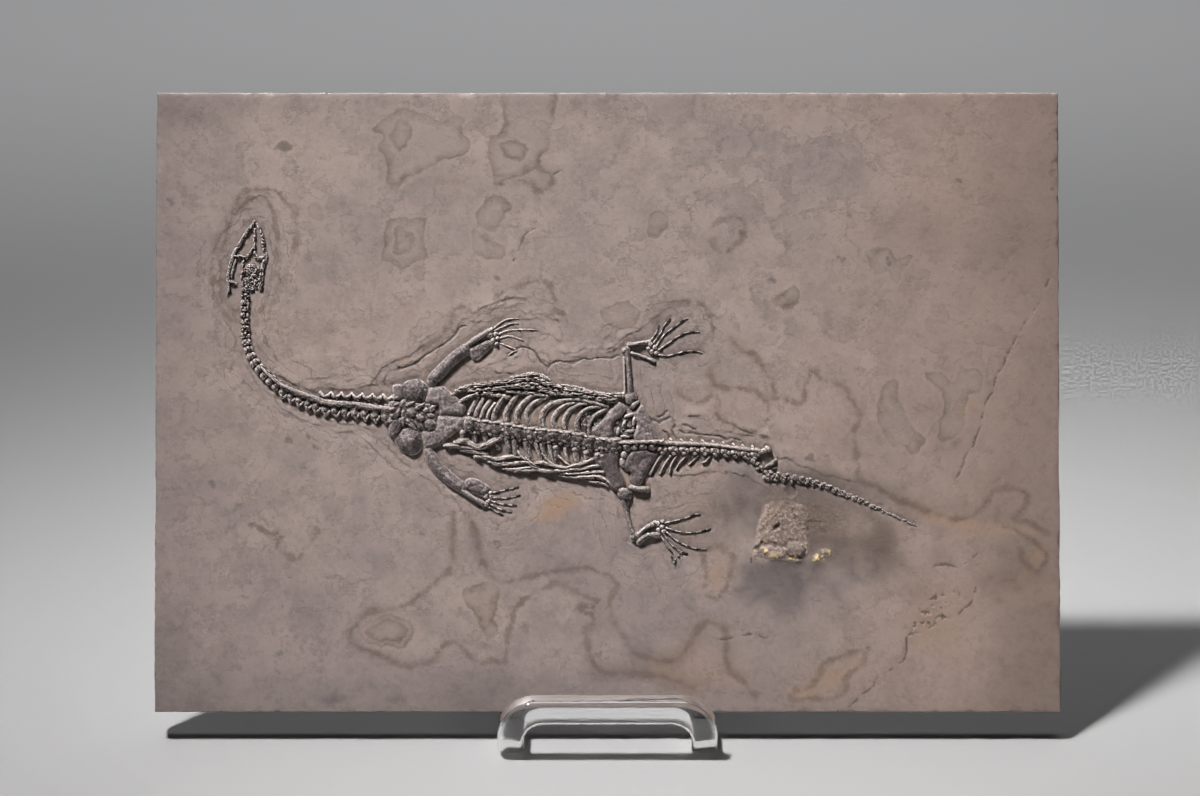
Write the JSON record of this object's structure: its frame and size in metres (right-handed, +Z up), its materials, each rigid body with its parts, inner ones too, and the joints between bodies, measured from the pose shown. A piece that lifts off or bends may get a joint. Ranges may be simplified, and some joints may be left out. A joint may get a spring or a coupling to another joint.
{
  "type": "fossil marine reptile slab",
  "caption": "Thin stone slab with the raised skeleton of a small long-necked marine reptile, leaning back on a clear bent easel.",
  "frame": {"origin": "on the table, under the middle of the whole object's box", "axes": "+Z up, +X to the right along the slab's long side as seen from the front, +Y away from the viewer, so that the fossil's face looks to -Y and leans back by 16 degrees"},
  "size_m": [0.28, 0.0887, 0.194],
  "materials": {
    "stone": "matt, fine grained, grey brown with darker rings",
    "bone": "dark grey fossil bone with a low sheen",
    "acrylic": "clear, polished"
  },
  "bodies": {
    "root": {"slab": "stone", "stand": "acrylic", "skull": "bone", "neck_vertebrae": "bone", "clavicles": "bone", "shoulder_vertebrae": "bone", "left_scapula": "bone", "right_scapula": "bone", "left_coracoid": "bone", "right_coracoid": "bone", "left_humerus": "bone", "left_radius": "bone", "left_ulna": "bone", "left_hand": "bone", "right_humerus": "bone", "right_radius": "bone", "right_ulna": "bone", "right_hand": "bone", "back_vertebrae_and_ribs": "bone", "left_belly_ribs": "bone", "right_belly_ribs": "bone", "right_front_belly_rib": "bone", "left_pubis": "bone", "right_pubis": "bone", "left_ischium": "bone", "right_ischium": "bone", "left_femur": "bone", "left_tibia": "bone", "left_fibula": "bone", "left_foot": "bone", "right_femur": "bone", "right_tibia": "bone", "right_fibula": "bone", "right_foot": "bone", "tail_vertebrae": "bone", "tail_tip_vertebrae": "bone"}
  },
  "joints": []
}
